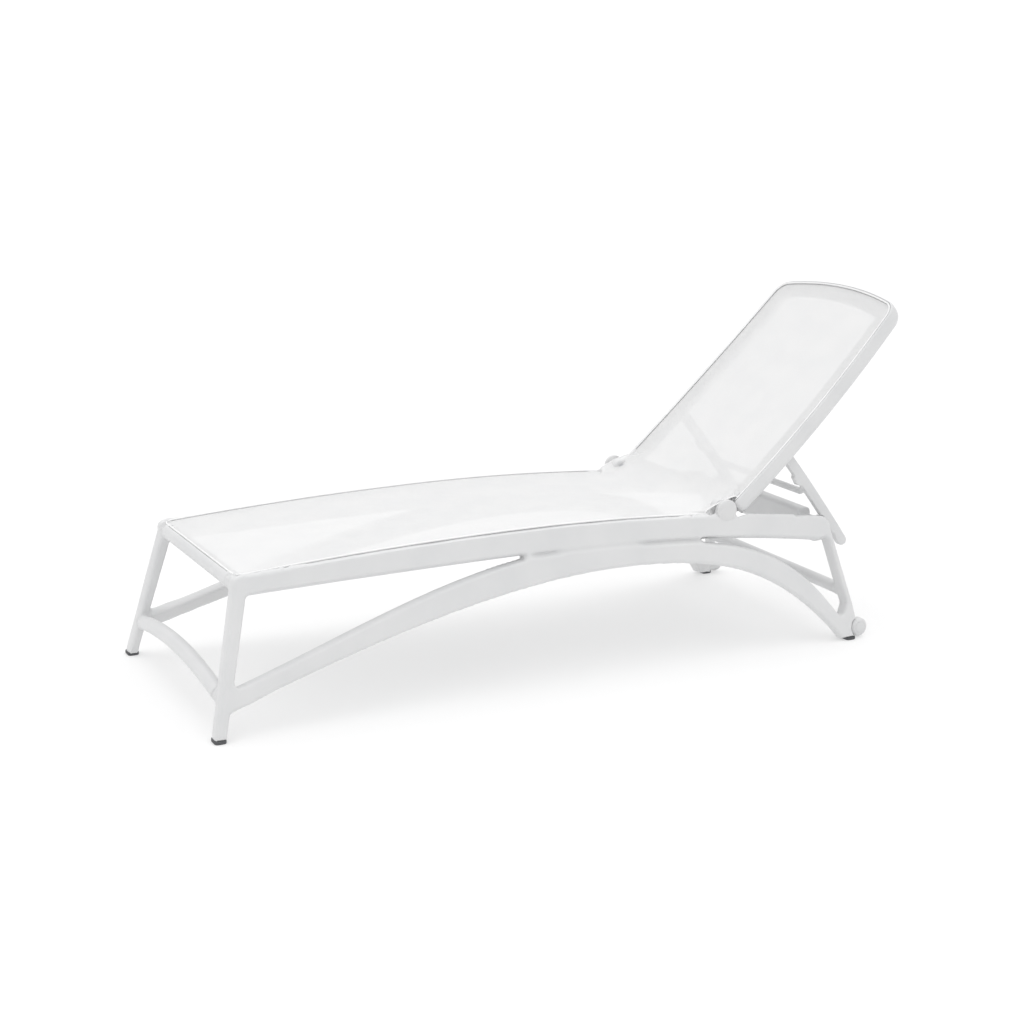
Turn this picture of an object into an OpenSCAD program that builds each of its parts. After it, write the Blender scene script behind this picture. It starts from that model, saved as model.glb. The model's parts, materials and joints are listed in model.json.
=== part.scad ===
// Reclining sun lounger: two moulded side frames joined by cross bars, a backrest ring on two
// hinge pins, a swinging prop that holds the backrest up, and a mesh sling edged with a bead.
// Millimetres, +Z up, +X towards the head end. The origin is on the floor under the middle of
// the lounger's outer box, as it stands with the backrest propped up.
// Left is the -Y side, which is on the left hand of someone who lies on the lounger.

/* [Base] */
// Distance between the front and the rear feet, centre to centre
foot_spacing = 1634; // [1400:1:1800]
// Width over the side frames at the floor
stance_width = 714; // [640:1:780]
// Lean of each side frame, inwards from the vertical
side_lean = 12.5; // [8:0.5:15]
// Depth of a side frame's moulding, across its plane
side_depth = 39; // [34:1:46]
// Height of the seat rail where it is highest
seat_height = 368; // [340:1:400]
// How much lower the seat rail is at the foot end
foot_end_drop = 25; // [10:1:35]
// How much lower the seat rail is at the hinge
hinge_drop = 26; // [10:1:30]
// Height of the rail at the foot end
rail_front_depth = 47; // [38:1:54]
// Height of the rail at its round rear end
rail_rear_depth = 62; // [54:1:70]
// Width of the front legs, along the lounger
front_leg_width = 29; // [24:1:36]
// Width of the rear legs, along the lounger
rear_leg_width = 18; // [16:1:26]
// Radius of the inner corners of the side frames
inner_fillet = 9; // [4:1:14]
// How much the arch's lower edge rises towards a side frame's inner side
side_draft = 16; // [8:0.5:18]

/* [Cross bars] */
// Diameter of the bar under the foot end of the sling
front_bar_d = 40; // [34:1:44]
// Diameter of the bowed brace between the front legs
front_brace_d = 43; // [26:1:44]
// Rise of the brace in its middle
front_brace_rise = 28; // [20:1:60]
// Height of the brace's ends above the floor
front_brace_height = 88; // [75:1:120]
// Height of the beam that carries the prop
rear_beam_depth = 72; // [50:1:76]
// Thickness of that beam
rear_beam_thick = 36; // [28:1:40]
// Diameter of the straight bar between the rear legs
rear_bar_d = 30; // [24:1:34]
// Height of the straight bar's axis above the floor
rear_bar_height = 117; // [105:1:150]
// Diameter of the spigots that hold the bars in the side frames
spigot_d = 12; // [8:1:14]
// Length of a spigot
spigot_length = 12; // [8:1:14]

/* [Feet and wheels] */
// Length of a foot pad along the lounger
pad_length = 28; // [24:1:32]
// Width of a foot pad across the lounger
pad_width = 36; // [28:1:38]
// Height of a foot pad under its leg
pad_height = 8; // [5:1:12]
// Diameter of the stem that plugs a pad into its leg
pad_stem_d = 10; // [8:1:12]
// Diameter of a transport wheel
wheel_d = 47; // [40:1:54]
// Width of a transport wheel, with its domed face
wheel_width = 22; // [16:1:24]
// Height of the wheels' rims above the floor while the lounger stands on its feet
wheel_lift = 3; // [2:0.5:6]
// Diameter of a wheel's axle
axle_d = 8; // [6:1:10]

/* [Backrest] */
// Distance of the hinge in front of the rear feet
hinge_setback = 329; // [280:1:380]
// Height of the hinge axis over the seat rail's top edge beside it
hinge_rise = 10; // [6:1:14]
// Angle of the propped backrest above the horizontal
back_angle = 43.5; // [35:0.1:46]
// Length of the backrest, from the hinge axis to the crown of its outer edge
back_length = 708; // [640:1:780]
// How far the crown stands beyond the backrest's corners
back_crown = 28; // [10:1:50]
// Distance of the bead line inwards from a side frame's outer face, at the hinge
bead_inset = 15; // [13:0.5:18]
// How much nearer together the two bead lines are at the head end
head_narrowing = 40; // [20:1:80]
// How far the backrest's sides bulge outwards
side_bulge = 8; // [0:1:12]
// Depth of the sling plane under the hinge axis, at either end of the backrest
back_set = 5.5; // [2:0.5:8]
// How far the backrest is hollowed between its ends
back_hollow = 9; // [0:1:10]
// Radius of the bead line's corners at the head end
head_corner_radius = 42; // [25:1:60]
// Height of the backrest's rail
back_rail_depth = 42; // [36:1:43]
// Width of the rail inboard of the bead
back_rail_inboard = 15; // [12:1:18]
// Width of the rim outboard of the bead
rim_width = 8; // [6:0.5:9]
// Width of the thin flange under the sling, inboard of the bead
flange_width = 43; // [30:1:50]
// Thickness of that flange
flange_thick = 3.5; // [2.5:0.5:4]

/* [Hinge] */
// Diameter of the hinge pins
hinge_pin_d = 16; // [12:1:20]
// Diameter of the domed heads of the hinge pins
cap_d = 53; // [40:1:56]
// Height of the dome over a pin's head
cap_dome = 6; // [3:0.5:9]
// Diameter of the backrest's hubs
hub_d = 46; // [36:1:48]
// Width of a hub, across the lounger
hub_width = 22; // [16:1:24]

/* [Prop] */
// Distance from the hinge to the prop's pivot, along the backrest
prop_station = 220; // [190:1:250]
// Depth of the prop's pivot under the hinge axis, square to the backrest
prop_drop = 40; // [39:0.5:42]
// Distance of an arm's middle inwards from the bead line
prop_inset = 39; // [37:1:49]
// Length of an arm from its pivot to its round end's centre
arm_length = 315; // [290:1:335]
// Width of an arm
arm_width = 26; // [20:1:26]
// Thickness of an arm, across the lounger
arm_thick = 17; // [12:1:18]
// How far an arm bows up between its ends
arm_bow = 3; // [1:0.5:3]
// Diameter of the rod that joins the arms
prop_rod_d = 17; // [12:1:18]
// Distance of that rod from the pivot
prop_rod_station = 148; // [140:1:155]
// Diameter of the prop's pivot pins
prop_pin_d = 10; // [8:1:12]
// Slope of the propped arms below the horizontal
arm_slope = 53; // [50:0.5:56]

/* [Sling] */
// Thickness of the mesh
sling_thick = 1.5; // [1:0.1:2]
// Diameter of the bead along the sling's edge
bead_d = 5; // [4:0.5:6]
// Distance from the hinge axis to the end of either sling panel
sling_gap = 26; // [22:1:36]

/* [Hidden] */

left = -1;
right = 1;
white = [0.93, 0.93, 0.92];
mesh_white = [0.88, 0.88, 0.87];
rubber = [0.16, 0.16, 0.17];
steel = [0.72, 0.73, 0.75];
curve_steps = 16;
rim_steps = 24;

// Named clearances
running = 0.05;   // radial, a pin that turns in a bore
seated = 0.05;    // radial, a spigot or a stem in its socket
apart = 0.5;      // between pieces that pass each other
loose = 1;        // round what swings

// Places along the lounger, measured from the middle between the feet
foot_x = foot_spacing / 2;
hinge_height = seat_height - hinge_drop + hinge_rise;
hinge_x = foot_x - hinge_setback;
peak_x = -0.03 * foot_spacing;
bar_x = -foot_x + 78;
seat_front_x = bar_x - front_bar_d / 2 + 15;
rail_end_r = rail_rear_depth / 2 - 1;
rail_end_x = foot_x - 61;
beam_x = rail_end_x + rail_end_r - rear_beam_thick / 2 - 2;
rear_bar_x = foot_x + 3;
wheel_z = wheel_lift + wheel_d / 2;
wheel_x = foot_x + max(pad_stem_d / 2 + apart + wheel_d / 2, pad_length / 2 + loose
    + sqrt(max(0, pow(wheel_d / 2, 2) - pow(wheel_z - pad_height, 2))));

// Heights
front_drop_rate = foot_end_drop / pow(peak_x - bar_x, 2);
rear_drop_rate = hinge_drop / pow(hinge_x - peak_x, 2);
under_peak_x = 0.02 * foot_spacing;
under_peak_z = seat_height - 63;
under_front_rate = (under_peak_z - rim_z(bar_x) + rail_front_depth) / pow(bar_x - under_peak_x, 2);
under_rear_rate = (under_peak_z - rim_z(rail_end_x) + rail_rear_depth)
    / pow(rail_end_x - under_peak_x, 2);
bead_sink = bead_d + 0.3;
sling_drop = bead_sink - sling_thick - 0.5;
sling_edge = bead_d / 2 + 0.4;
bar_z = rim_z(bar_x) - front_bar_d / 2;
rail_end_z = rim_z(rail_end_x) - rail_end_r;
ledge_z = hinge_height - max(back_set + back_hollow + back_rail_depth,
                             prop_drop + arm_width / 2 + arm_bow) - loose;
beam_top_z = hinge_height - 40;
beam_z = beam_top_z - rear_beam_depth / 2;

// Places across the lounger
half_stance = stance_width / 2;
side_width = side_depth / cos(side_lean);
bead_y = round(side_y(hinge_height) - bead_inset);
rim_y = bead_y + rim_width;
hub_y = rim_y - 38;
ear_y = hub_y + hub_width + apart;
cap_y = rim_y + 0.3;
pad_y = half_stance - side_width / 2;
wheel_y = side_y(wheel_z) - 2;

// Backrest, drawn flat: s runs from the hinge towards the head, n is up from the hinge axis
head_s = back_length - rim_width - back_crown;
crown_half = bead_y - head_narrowing / 2;
corner_s = head_s - head_corner_radius;
taper = -bead_slope(corner_s);
side_normal = [taper, 1] / norm([taper, 1]);
crown_r = (crown_half * crown_half + back_crown * back_crown) / (2 * back_crown);
crown_s = back_length - rim_width - crown_r;
prop_pivot = [prop_station, -prop_drop];
arm_y = bead_y - prop_inset;
arm_fold = arm_slope + back_angle;

// Catches: where the arms sit on the beam, in the propped arm's own lengths
pivot_x = hinge_x + prop_station * cos(back_angle) + prop_drop * sin(back_angle);
pivot_z = hinge_height + prop_station * sin(back_angle) - prop_drop * cos(back_angle);
catch_r = 7;
catch_reach = 15;
catch_z = ledge_z - catch_r - loose;
catch_x = beam_x + rear_beam_thick / 2 + catch_reach;
catch_along = (catch_x - pivot_x) * cos(arm_slope) - (catch_z - pivot_z) * sin(arm_slope);
catch_up = (catch_x - pivot_x) * sin(arm_slope) + (catch_z - pivot_z) * cos(arm_slope);
catch_width = arm_thick + 8;
notch_spacing = 62;

// The outer box runs from the front feet to the lower edge of the head end
box_front = -foot_x - front_leg_width / 2 - 1;
box_rear = hinge_x + back_length * cos(back_angle) + (back_set + back_rail_depth - 6) * sin(back_angle);
mid_x = (box_front + box_rear) / 2;

// ---- Curves ------------------------------------------------------------------------------

// Height of the seat rail's top edge, two parabolas that meet at its highest point
function rim_z(x) =
    seat_height - pow(x - peak_x, 2) * (x < peak_x ? front_drop_rate : rear_drop_rate);

// Height of the seat rail's lower edge
function under_z(x) =
    under_peak_z - pow(x - under_peak_x, 2) * (x < under_peak_x ? under_front_rate : under_rear_rate);

// Outer face of a side frame at a height
function side_y(z) = half_stance - z * tan(side_lean);

// A height, measured up the leaning plane at the middle of the moulding's depth
function up(z) = (z + side_depth / 2 * sin(side_lean)) / cos(side_lean);
function on_side(points) = [for (p = points) [p[0], up(p[1])]];
function raised(points, h) = [for (p = points) p + [0, h]];

function polar(a, r) = r * [cos(a), sin(a)];
function backwards(list) = [for (i = [len(list) - 1:-1:0]) list[i]];
function range(a, b, steps) = [for (i = [0:steps]) a + (b - a) * i / steps];

// Cubic curve that leaves p at angle a and arrives at q at angle b, with handles h and k
function sweep_curve(p, a, h, q, b, k) = [for (t = range(0, 1, curve_steps))
    pow(1 - t, 3) * p + 3 * pow(1 - t, 2) * t * (p + polar(a, h))
        + 3 * (1 - t) * t * t * (q - polar(b, k)) + pow(t, 3) * q];

// Half the width between the backrest's bead lines, and how fast it grows, at s
function bead_half(s) =
    let (t = s / head_s) bead_y + (crown_half - bead_y) * t + 4 * side_bulge * t * (1 - t);
function bead_slope(s) =
    (crown_half - bead_y + 4 * side_bulge * (1 - 2 * s / head_s)) / head_s;

// Height of the backrest's top edge above the hinge axis, when it is drawn flat
function back_n(s) = let (t = s / head_s) -back_set - 4 * back_hollow * t * (1 - t);

// Centre of the arc of radius r that joins the backrest's bead line at its side to its crown
function head_corner(r) =
    let (inner = (bead_half(corner_s) + taper * corner_s) * side_normal[1] - r,
         off = inner - crown_s * side_normal[0],
         along = crown_s * side_normal[1] + sqrt(pow(crown_r - r, 2) - off * off))
    inner * side_normal + along * [side_normal[1], -side_normal[0]];

// The backrest's bead line moved outwards by e, from one lower end over the head to the other
function head_half(e, s_low) =
    let (bend = max(head_corner_radius + e, 12),
         middle = head_corner(bend - e),
         a0 = atan2(side_normal[1], side_normal[0]),
         a1 = atan2(middle[1], middle[0] - crown_s))
    concat([for (s = range(s_low, middle[0] - 4, 12)) [s, bead_half(s) + e]],
           [for (a = range(a0, a1, 8)) middle + polar(a, bend)],
           [for (a = range(a1, 0, 8)) if (a < a1) [crown_s, 0] + polar(a, crown_r + e)]);
function head_line(e, s_low) =
    let (half = head_half(e, s_low))
    concat(half, [for (i = [len(half) - 2:-1:0]) [half[i][0], -half[i][1]]]);

// The seat's bead line moved outwards by e, from one hinge round the foot end to the other
seat_corner_r = 24;
function foot_half(e, x_end) = concat(
    [for (x = range(x_end, seat_front_x + seat_corner_r, rim_steps)) [x, bead_y + e]],
    [for (a = range(90, 180, 8)) if (a > 90)
        [seat_front_x + seat_corner_r, bead_y - seat_corner_r] + polar(a, seat_corner_r + e)]);
function foot_line(e, x_end) =
    let (half = foot_half(e, x_end))
    concat(half, [for (i = [len(half) - 1:-1:0]) [half[i][0], -half[i][1]]]);

// ---- Placing -----------------------------------------------------------------------------

module placed() translate([-mid_x, 0, 0]) children();

module on_hand(hand) mirror([0, hand == left ? 1 : 0, 0]) children();

// Takes a drawing of (x, height up the side) to the right side's outer face, drawn inwards
module side_plane() translate([0, half_stance, 0]) rotate([90 + side_lean, 0, 0]) children();

// Takes a drawing of (x, z) to the upright plane at y, extruded by width towards +Y
module upright(y, width) translate([0, y + width, 0]) rotate([90, 0, 0])
    linear_extrude(width) children();

// A round bar along Y
module across(x, y, z, r, length) translate([x, y, z]) rotate([-90, 0, 0])
    cylinder(r = r, h = length, $fn = 64);

// Keeps what lies between the two side frames' inner faces
module between_sides(gap = 0) intersection() {
    children();
    rotate([90, 0, 90]) translate([0, 0, -foot_spacing])
        linear_extrude(2 * foot_spacing) polygon([
            for (h = [left, right], z = h == left ? [0, seat_height] : [seat_height, 0])
                [h * (side_y(z) - side_width - gap), z]]);
}

// Moves what is drawn flat, as (s, y, n), to the hinge and turns it up to the propped angle
module propped() translate([hinge_x, 0, hinge_height]) rotate([0, -back_angle, 0]) children();

// A tube of radius r along a list of points, with the points' own up direction
module tube(points, r, sides = 8) {
    count = len(points);
    rings = [for (i = [0:count - 1])
        let (t = points[min(i + 1, count - 1)] - points[max(i - 1, 0)],
             side = cross(t, [0, 0, 1]) / norm(cross(t, [0, 0, 1])),
             rise = cross(side, t) / norm(t))
        for (j = [0:sides - 1]) points[i] + r * (cos(360 * j / sides) * side
                                                 + sin(360 * j / sides) * rise)];
    walls = [for (i = [0:count - 2], j = [0:sides - 1])
        let (a = i * sides + j, b = i * sides + (j + 1) % sides)
        [a, b, b + sides, a + sides]];
    ends = [[for (j = [sides - 1:-1:0]) j],
            [for (j = [0:sides - 1]) (count - 1) * sides + j]];
    polyhedron(points = rings, faces = concat(ends, walls));
}

// ---- Side frames -------------------------------------------------------------------------

// Seat rail with its round rear end
module rail_shape() {
    xs = range(bar_x, rail_end_x, rim_steps);
    polygon(on_side(concat([for (x = xs) [x, rim_z(x)]],
                           [for (x = backwards(xs)) [x, under_z(x)]])));
    translate([rail_end_x, up(rail_end_z)]) circle(r = rail_end_r, $fn = 48);
}

// Front leg, from the corner of the rail to the floor
module front_leg_shape(narrowing) {
    half = front_leg_width / 2;
    translate([bar_x, up(bar_z)]) circle(r = front_bar_d / 2 - 1, $fn = 48);
    polygon(on_side([[bar_x - half - 2, bar_z], [bar_x + half - narrowing, bar_z - 20],
                     [-foot_x + half - narrowing, 0], [-foot_x - half, 0]]));
}

// Long arch from the front leg up to the rail and down to the rear foot
arch_start = [-foot_x + 62, 65];
arch_top_start = [-foot_x + 67, 113];
arch_low = [0.185 * foot_spacing, seat_height - 128];
arch_high = [0.065 * foot_spacing, seat_height - 61.5];
arch_down = [0.256 * foot_spacing, seat_height - 85];
arch_toe = [foot_x - 27, -1];
arch_heel = [foot_x - 21, 54];
arch_top = sweep_curve(arch_top_start, 16, 295, arch_high, -1, 298);
arch_back = sweep_curve(arch_down, -13, 85, arch_heel, -57.5, 240);
module arch_shape(lift) {
    heel = arch_heel - [0, 0.5 * lift];
    low = concat([arch_start + [-42, lift - 12]],
                 raised(sweep_curve(arch_start, 16.5, 296, arch_low, -5, 354), lift),
                 raised(sweep_curve(arch_low, -5, 166, arch_toe, -50.5, 259), lift));
    high = concat([arch_top_start - [47, 13]], arch_top,
                  sweep_curve(arch_down, -13, 85, heel, -57.5, 240));
    polygon(on_side(concat(high, backwards(low))));
}

// Rear leg and the broad foot that it shares with the arch
module rear_leg_shape() {
    half = rear_leg_width / 2;
    top = [rail_end_x + 20, rail_end_z];
    knee = [foot_x - 2, 115];
    polygon(on_side([top - [half, 0], top + [half, 0], knee + [half, 0], [foot_x + 14, 88],
                     [foot_x + 21, 48], [foot_x + 21, 0], [foot_x - 21, 0], arch_toe,
                     arch_heel, [foot_x - 4, 88], knee - [half, 0]]));
}

module side_shape(inset, lift) offset(delta = -inset)
    difference() {
        offset(r = -inner_fillet, $fn = 40) offset(r = inner_fillet, $fn = 40) {
            rail_shape();
            front_leg_shape(0.45 * lift);
            arch_shape(lift);
            rear_leg_shape();
            translate([hinge_x, up(hinge_height)]) circle(r = hub_d / 2 - 2, $fn = 48);
        }
        narrow_end(arch_top);
        narrow_end(arch_back);
    }

// Narrow end of an opening between the rail and the arch's top, which the fillets don't fill
slot_gap = 2.5;
function gap_over(p) = under_z(p[0]) - p[1];
module narrow_end(points) {
    near = [for (p = points) if (gap_over(p) > slot_gap && gap_over(p) < 5 * inner_fillet) p];
    polygon(on_side(concat(near, [for (p = backwards(near)) [p[0], under_z(p[0])]])));
}

// The moulding's steps round its outer side and narrow it inwards. Each has where it starts, its
// thickness, the inset of its outline and how far the arch's lower edge is raised in it.
half_depth = side_depth / 2;
round_steps = [[0, 4, 5, 0], [3, 9, 1.5, 0], [11, half_depth - 9, 0, 0.3 * side_draft],
               [half_depth + 1, half_depth - 10, 0, 0.7 * side_draft],
               [side_depth - 10, 10, 1.5, side_draft]];

module side_blank() {
    side_plane() for (step = round_steps) translate([0, 0, step[0]])
        linear_extrude(step[1]) side_shape(step[2], step[3]);
    // Flat shelf under the sling's edge
    upright(bead_y - 26, 26 + rim_width - 2)
        shelf_shape(bar_x + front_bar_d / 2 + apart, 0, shelf_thick);
    // Ear that holds the hinge pin
    across(hinge_x, ear_y, hinge_height, hub_d / 2 - 1, cap_y - apart - ear_y);
}

shelf_thick = 7;
module shelf_shape(start, above, below) {
    xs = range(start, hinge_x - hub_d / 2, rim_steps);
    polygon(concat([for (x = xs) [x, rim_z(x) - bead_sink + above]],
                   [for (x = backwards(xs)) [x, rim_z(x) - bead_sink - below]]));
}

// Half the width that the lowered backrest needs, with the bulge of its sides
back_room = max([for (s = range(0, head_s, 12)) bead_half(s)]) + rim_width + apart;

// Room for the sling, the hub, the pin's head, the folded backrest, the wheel and the floor
module side_cuts() {
    upright(0, bead_y + sling_edge) shelf_shape(seat_front_x - sling_edge, 30, 0);
    across(hinge_x, 0, hinge_height, hub_d / 2 + loose, ear_y);
    across(hinge_x, cap_y - apart / 2, hinge_height, cap_d / 2 + apart, 60);
    across(hinge_x, 0, hinge_height, hinge_pin_d / 2 + running, 2 * half_stance);
    translate([hinge_x, 0, ledge_z]) cube([rail_end_x, back_room, seat_height]);
    across(wheel_x, wheel_y - wheel_width - 1, wheel_z, wheel_d / 2 + 2, 80);
    across(wheel_x, 0, wheel_z, axle_d / 2 + seated, half_stance);
    translate([-foot_spacing, 0, -50]) cube([2 * foot_spacing, stance_width, 50 + pad_height]);
    for (p = bar_sockets) across(p[0], side_y(p[1]) - side_width - 30, p[1],
                                 spigot_d / 2 + seated, 30 + spigot_length + 3);
    for (x = [-foot_x, foot_x]) translate([x, pad_y, 0])
        cylinder(d = pad_stem_d + 2 * seated, h = pad_height + pad_stem_length + 1, $fn = 48);
}

// Lug on the inner side of the foot that carries the wheel's axle
module wheel_lug() {
    y = side_y(wheel_z) - side_width;
    difference() {
        union() {
            across(wheel_x, y, wheel_z, 13, wheel_y - wheel_width - 1 - apart - y);
            translate([foot_x, y, pad_height])
                cube([wheel_x - foot_x, wheel_y - wheel_width - 1 - apart - y, wheel_z - pad_height + 13]);
        }
        across(wheel_x, 0, wheel_z, axle_d / 2 + seated, half_stance);
    }
}

module side_frame(hand) color(white) placed() on_hand(hand) union() {
    difference() {
        side_blank();
        side_cuts();
    }
    wheel_lug();
}

module side_frame_left() side_frame(left);
module side_frame_right() side_frame(right);

// ---- Cross bars --------------------------------------------------------------------------

brace_end = [-foot_x + 20, front_brace_height];
beam_spigots = [ledge_z - spigot_d, ledge_z - 38];
bar_sockets = [[bar_x, bar_z], brace_end, [beam_x, beam_spigots[0]], [beam_x, beam_spigots[1]],
               [rear_bar_x, rear_bar_height]];

// A spigot at each end of a bar
module spigots(x, z) for (hand = [left, right]) on_hand(hand)
    across(x, side_y(z) - side_width - 2, z, spigot_d / 2, 2 + spigot_length);

module front_bar() color(white) placed() {
    difference() {
        between_sides() across(bar_x, -half_stance, bar_z, front_bar_d / 2, stance_width);
        translate([seat_front_x - sling_edge, -half_stance, rim_z(seat_front_x) - bead_sink])
            cube([front_bar_d, stance_width, front_bar_d]);
    }
    spigots(bar_x, bar_z);
}

// The brace is an arc of a circle that stands between the front legs
module front_brace() color(white) placed() {
    half = side_y(front_brace_height) - side_width;
    bend = (half * half + front_brace_rise * front_brace_rise) / (2 * front_brace_rise);
    spread = asin(half / bend) + 4;
    between_sides() translate([brace_end[0], 0, front_brace_height + front_brace_rise - bend])
        rotate([0, 90, 0]) rotate([0, 0, 180 - spread])
            rotate_extrude(angle = 2 * spread, $fn = 360)
                translate([bend, 0]) circle(d = front_brace_d, $fn = 40);
    spigots(brace_end[0], front_brace_height);
}

module beam_shape() {
    r = 10;
    half = rear_beam_thick / 2;
    for (x = [-1, 1], z = [-1, 1])
        translate([beam_x + x * (half - r), beam_z + z * (rear_beam_depth / 2 - r)])
            circle(r = r, $fn = 40);
    translate([beam_x - half, beam_z - rear_beam_depth / 2 + r])
        square([rear_beam_thick, rear_beam_depth - 2 * r]);
    translate([beam_x - half + r, beam_z - rear_beam_depth / 2])
        square([rear_beam_thick - 2 * r, rear_beam_depth]);
}

// The beam is lower at its ends, where the folded prop and the lowered backrest lie over it
module rear_beam() color(white) placed() {
    saddle_y = arm_y - arm_thick / 2 - 12;
    difference() {
        between_sides() upright(-half_stance, stance_width) beam_shape();
        for (h = [left, right]) on_hand(h) translate([beam_x - rear_beam_thick, saddle_y, ledge_z])
            cube([2 * rear_beam_thick, half_stance, seat_height]);
    }
    for (h = [left, right]) {
        across(catch_x, h * arm_y - catch_width / 2, catch_z, catch_r, catch_width);
        translate([beam_x, h * arm_y - catch_width / 2, catch_z - catch_r + 1])
            cube([catch_x - beam_x, catch_width, 2 * catch_r - 3]);
    }
    for (z = beam_spigots) spigots(beam_x, z);
}

module rear_bar() color(white) placed() {
    between_sides() across(rear_bar_x, -half_stance, rear_bar_height, rear_bar_d / 2, stance_width);
    spigots(rear_bar_x, rear_bar_height);
}

// ---- Feet and wheels ---------------------------------------------------------------------

pad_stem_length = 16;
module foot_pad(x, hand) color(rubber) placed() on_hand(hand) translate([x, pad_y, 0]) {
    r = 6;
    linear_extrude(pad_height) union() {
        square([pad_length, pad_width - 2 * r], center = true);
        square([pad_length - 2 * r, pad_width], center = true);
        for (sx = [-1, 1], sy = [-1, 1])
            translate([sx * (pad_length / 2 - r), sy * (pad_width / 2 - r)]) circle(r = r, $fn = 32);
    }
    cylinder(d = pad_stem_d, h = pad_height + pad_stem_length, $fn = 48);
}

module foot_pad_front_left() foot_pad(-foot_x, left);
module foot_pad_front_right() foot_pad(-foot_x, right);
module foot_pad_rear_left() foot_pad(foot_x, left);
module foot_pad_rear_right() foot_pad(foot_x, right);

// Solid wheel with a domed outer face and a blind bore from its inner face
module wheel(hand) color(white) placed() on_hand(hand)
    translate([wheel_x, wheel_y - wheel_width, wheel_z]) rotate([-90, 0, 0]) difference() {
        rotate_extrude($fn = 96) polygon([[0, 0], [wheel_d / 2 - 1.5, 0], [wheel_d / 2, 1.5],
            [wheel_d / 2, wheel_width - 8], [wheel_d / 2 - 1, wheel_width - 5.5],
            [wheel_d / 2 - 3, wheel_width - 4], [wheel_d / 2 - 9, wheel_width - 1.5],
            [wheel_d / 4, wheel_width - 0.5], [0, wheel_width]]);
        translate([0, 0, -1]) cylinder(d = axle_d + 2 * running, h = wheel_width - 5, $fn = 48);
    }

module wheel_left() wheel(left);
module wheel_right() wheel(right);

module wheel_axle(hand) color(steel) placed() on_hand(hand)
    across(wheel_x, side_y(wheel_z) - side_width - 2, wheel_z, axle_d / 2,
           wheel_y - 8 - (side_y(wheel_z) - side_width - 2));

module wheel_axle_left() wheel_axle(left);
module wheel_axle_right() wheel_axle(right);

// ---- Hinge -------------------------------------------------------------------------------

pin_end_y = hub_y - 8;
clip_groove = 1;

// Pin with a wide domed head, turned as one piece, with a groove for its clip
module hinge_pin(hand) color(white) placed() on_hand(hand)
    translate([hinge_x, pin_end_y, hinge_height]) rotate([-90, 0, 0]) {
        head = cap_y - pin_end_y;
        edge = cap_d / 2;
        bend = (edge * edge + cap_dome * cap_dome) / (2 * cap_dome);
        rotate_extrude($fn = 96) polygon(concat(
            [[0, 0], [hinge_pin_d / 2 - 1, 0], [hinge_pin_d / 2, 1], [hinge_pin_d / 2, 3],
             [hinge_pin_d / 2 - clip_groove, 3], [hinge_pin_d / 2 - clip_groove, 5.4],
             [hinge_pin_d / 2, 5.4], [hinge_pin_d / 2, head], [edge, head], [edge, head + 8]],
            [for (a = range(asin(edge / bend), 0, 6))
                [bend * sin(a), head + 8 + cap_dome - bend + bend * cos(a)]]));
    }

module hinge_pin_left() hinge_pin(left);
module hinge_pin_right() hinge_pin(right);

// Spring clip in the pin's groove, open at the bottom
module hinge_clip(hand) color(steel) placed() on_hand(hand)
    translate([hinge_x, pin_end_y + 3.2, hinge_height]) rotate([-90, 0, 0])
        linear_extrude(2) difference() {
            circle(r = hinge_pin_d / 2 + 4, $fn = 48);
            circle(r = hinge_pin_d / 2 - clip_groove + seated, $fn = 48);
            translate([-4, 0]) square([8, hinge_pin_d]);
        }

module hinge_clip_left() hinge_clip(left);
module hinge_clip_right() hinge_clip(right);

// ---- Backrest ----------------------------------------------------------------------------

back_start = cap_d / 2 + 1.5;
lower_tube_s = 52;
lower_tube_d = 22;
prop_boss_d = 26;

// What stands on the plan below it, between two heights measured from the hollowed top
module hollowed(high, low) intersection() {
    translate([0, 0, -120]) linear_extrude(140) children();
    upright(-half_stance, stance_width) hollow_strip(high, low);
}
module hollow_strip(high, low) {
    ss = range(0, back_length + 10, curve_steps);
    polygon(concat([for (s = ss) [s, back_n(s) + high]],
                   [for (s = backwards(ss)) [s, back_n(s) + low]]));
}

// The strip between two lines beside the bead line, from s_low to the head
module head_band(outer, inner, s_low) difference() {
    polygon(head_line(outer, s_low));
    polygon(concat(head_line(inner, s_low), [[s_low - 10, -bead_y], [s_low - 10, bead_y]]));
}

// Ring: an outer rail with a rounded lower side and a thin flange under the sling. The rebate
// at its top holds the bead and the sling.
module backrest_ring() {
    hollowed(-back_rail_depth + 12, -back_rail_depth)
        head_band(rim_width - 5, -back_rail_inboard + 2, back_start);
    hollowed(-bead_sink, -back_rail_depth + 7) head_band(rim_width, -back_rail_inboard, back_start);
    hollowed(-0.5, -bead_sink - 2) head_band(rim_width - 1.5, sling_edge, back_start);
    hollowed(-bead_sink - 0.5, -bead_sink - flange_thick)
        head_band(bead_d / 2, -flange_width, back_start);
}

// Hub with a neck that runs down into the rail
module backrest_hub(hand) on_hand(hand) {
    across(0, hub_y, 0, hub_d / 2, hub_width);
    low = back_n(back_start) - back_rail_depth;
    high = back_n(back_start) - bead_sink - 2;
    upright(hub_y, hub_width) polygon([[0, 1 - hub_d / 2], [back_start, low + 3],
        [back_start + 30, low + 1], [back_start + 30, high - 2], [back_start, high],
        [8, hub_d / 2 - 3]]);
}

module prop_boss(hand) on_hand(hand)
    across(prop_pivot[0], arm_y + arm_thick / 2 + apart, prop_pivot[1], prop_boss_d / 2,
           bead_half(prop_station) - back_rail_inboard + 4 - arm_y - arm_thick / 2 - apart);

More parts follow.
